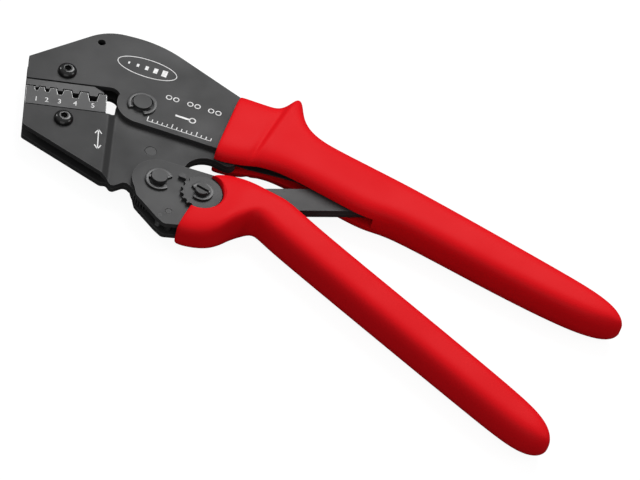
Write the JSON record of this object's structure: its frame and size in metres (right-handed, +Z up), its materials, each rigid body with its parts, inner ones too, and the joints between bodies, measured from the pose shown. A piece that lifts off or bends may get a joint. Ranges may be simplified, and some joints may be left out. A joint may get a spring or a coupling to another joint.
{
  "type": "crimping tool",
  "caption": "Ratcheting hand crimping tool with steel plate jaws, exchangeable crimp dies and red grips, resting flat on its side",
  "frame": {"origin": "centre of the bounding box, at the level of the faces it rests on", "axes": "+X along the fixed handle away from the jaws, +Y from the moving handle towards the fixed one, +Z up through the plates"},
  "size_m": [0.2532, 0.0978, 0.0165],
  "materials": {
    "dark_steel": "satin",
    "die_steel": "satin",
    "black_oxide": "gloss",
    "spring_steel": "satin",
    "red_grip": "matte"
  },
  "bodies": {
    "frame": {"front_frame_plate": "dark_steel", "rear_frame_plate": "dark_steel", "upper_grip": "red_grip", "upper_die": "die_steel", "upper_die_screw": "black_oxide", "main_pivot_pin": "dark_steel", "main_pivot_clip": "dark_steel", "strap_pin": "dark_steel", "frame_spacers": "dark_steel", "opening_spring_post": "dark_steel", "opening_spring": "spring_steel", "hang_hole_sleeve": "dark_steel"},
    "jaw": {"front_jaw_plate": "dark_steel", "rear_jaw_plate": "dark_steel", "jaw_rivet": "dark_steel", "lower_die": "die_steel", "lower_die_screw": "black_oxide"},
    "handle": {"front_handle_plate": "dark_steel", "rear_handle_plate": "dark_steel", "lower_grip": "red_grip", "handle_pivot_pin": "dark_steel", "handle_pivot_clip": "dark_steel", "handle_spacers": "dark_steel", "pawl_pin": "dark_steel", "pawl_spring_post": "dark_steel", "pawl_spring": "spring_steel", "wheel_detent": "dark_steel"},
    "eccentric": {"eccentric_pin": "dark_steel", "adjusting_wheel": "dark_steel", "eccentric_clip": "dark_steel"},
    "pawl": {"pawl": "die_steel"},
    "strap": {"front_strap_plate": "dark_steel", "rear_strap_plate": "dark_steel"}
  },
  "joints": [
    {"name": "jaw_hinge", "type": "hinge", "parent": "frame", "child": "jaw", "pos_m": [-0.07791, 0.00756, 0.00825], "axis": [0, 0, 1], "range_deg": [-0.5, 8], "deforming": ["opening_spring"]},
    {"name": "handle_hinge", "type": "hinge", "parent": "jaw", "child": "handle", "pos_m": [-0.05281, -0.02213, 0.00825], "axis": [0, 0, 1], "range_deg": [-35.6, 2.4]},
    {"name": "strap_hinge", "type": "hinge", "parent": "handle", "child": "strap", "pos_m": [-0.03566, -0.01903, 0.00825], "axis": [0, 0, 1], "range_deg": [-2.2, 32.6]},
    {"name": "eccentric_hinge", "type": "hinge", "parent": "handle", "child": "eccentric", "pos_m": [-0.03591, -0.01903, 0.00825], "axis": [0, 0, 1], "range_deg": [-25, 25]},
    {"name": "pawl_hinge", "type": "hinge", "parent": "handle", "child": "pawl", "pos_m": [-0.04191, -0.03343, 0.00825], "axis": [0, 0, 1], "range_deg": [-8, 8], "stiffness_Nm_per_rad": 0.01}
  ],
  "couplings": [
    {"joint": "handle_hinge", "follows": "jaw_hinge", "ratio": -4.4},
    {"joint": "strap_hinge", "follows": "jaw_hinge", "ratio": 4.03}
  ]
}
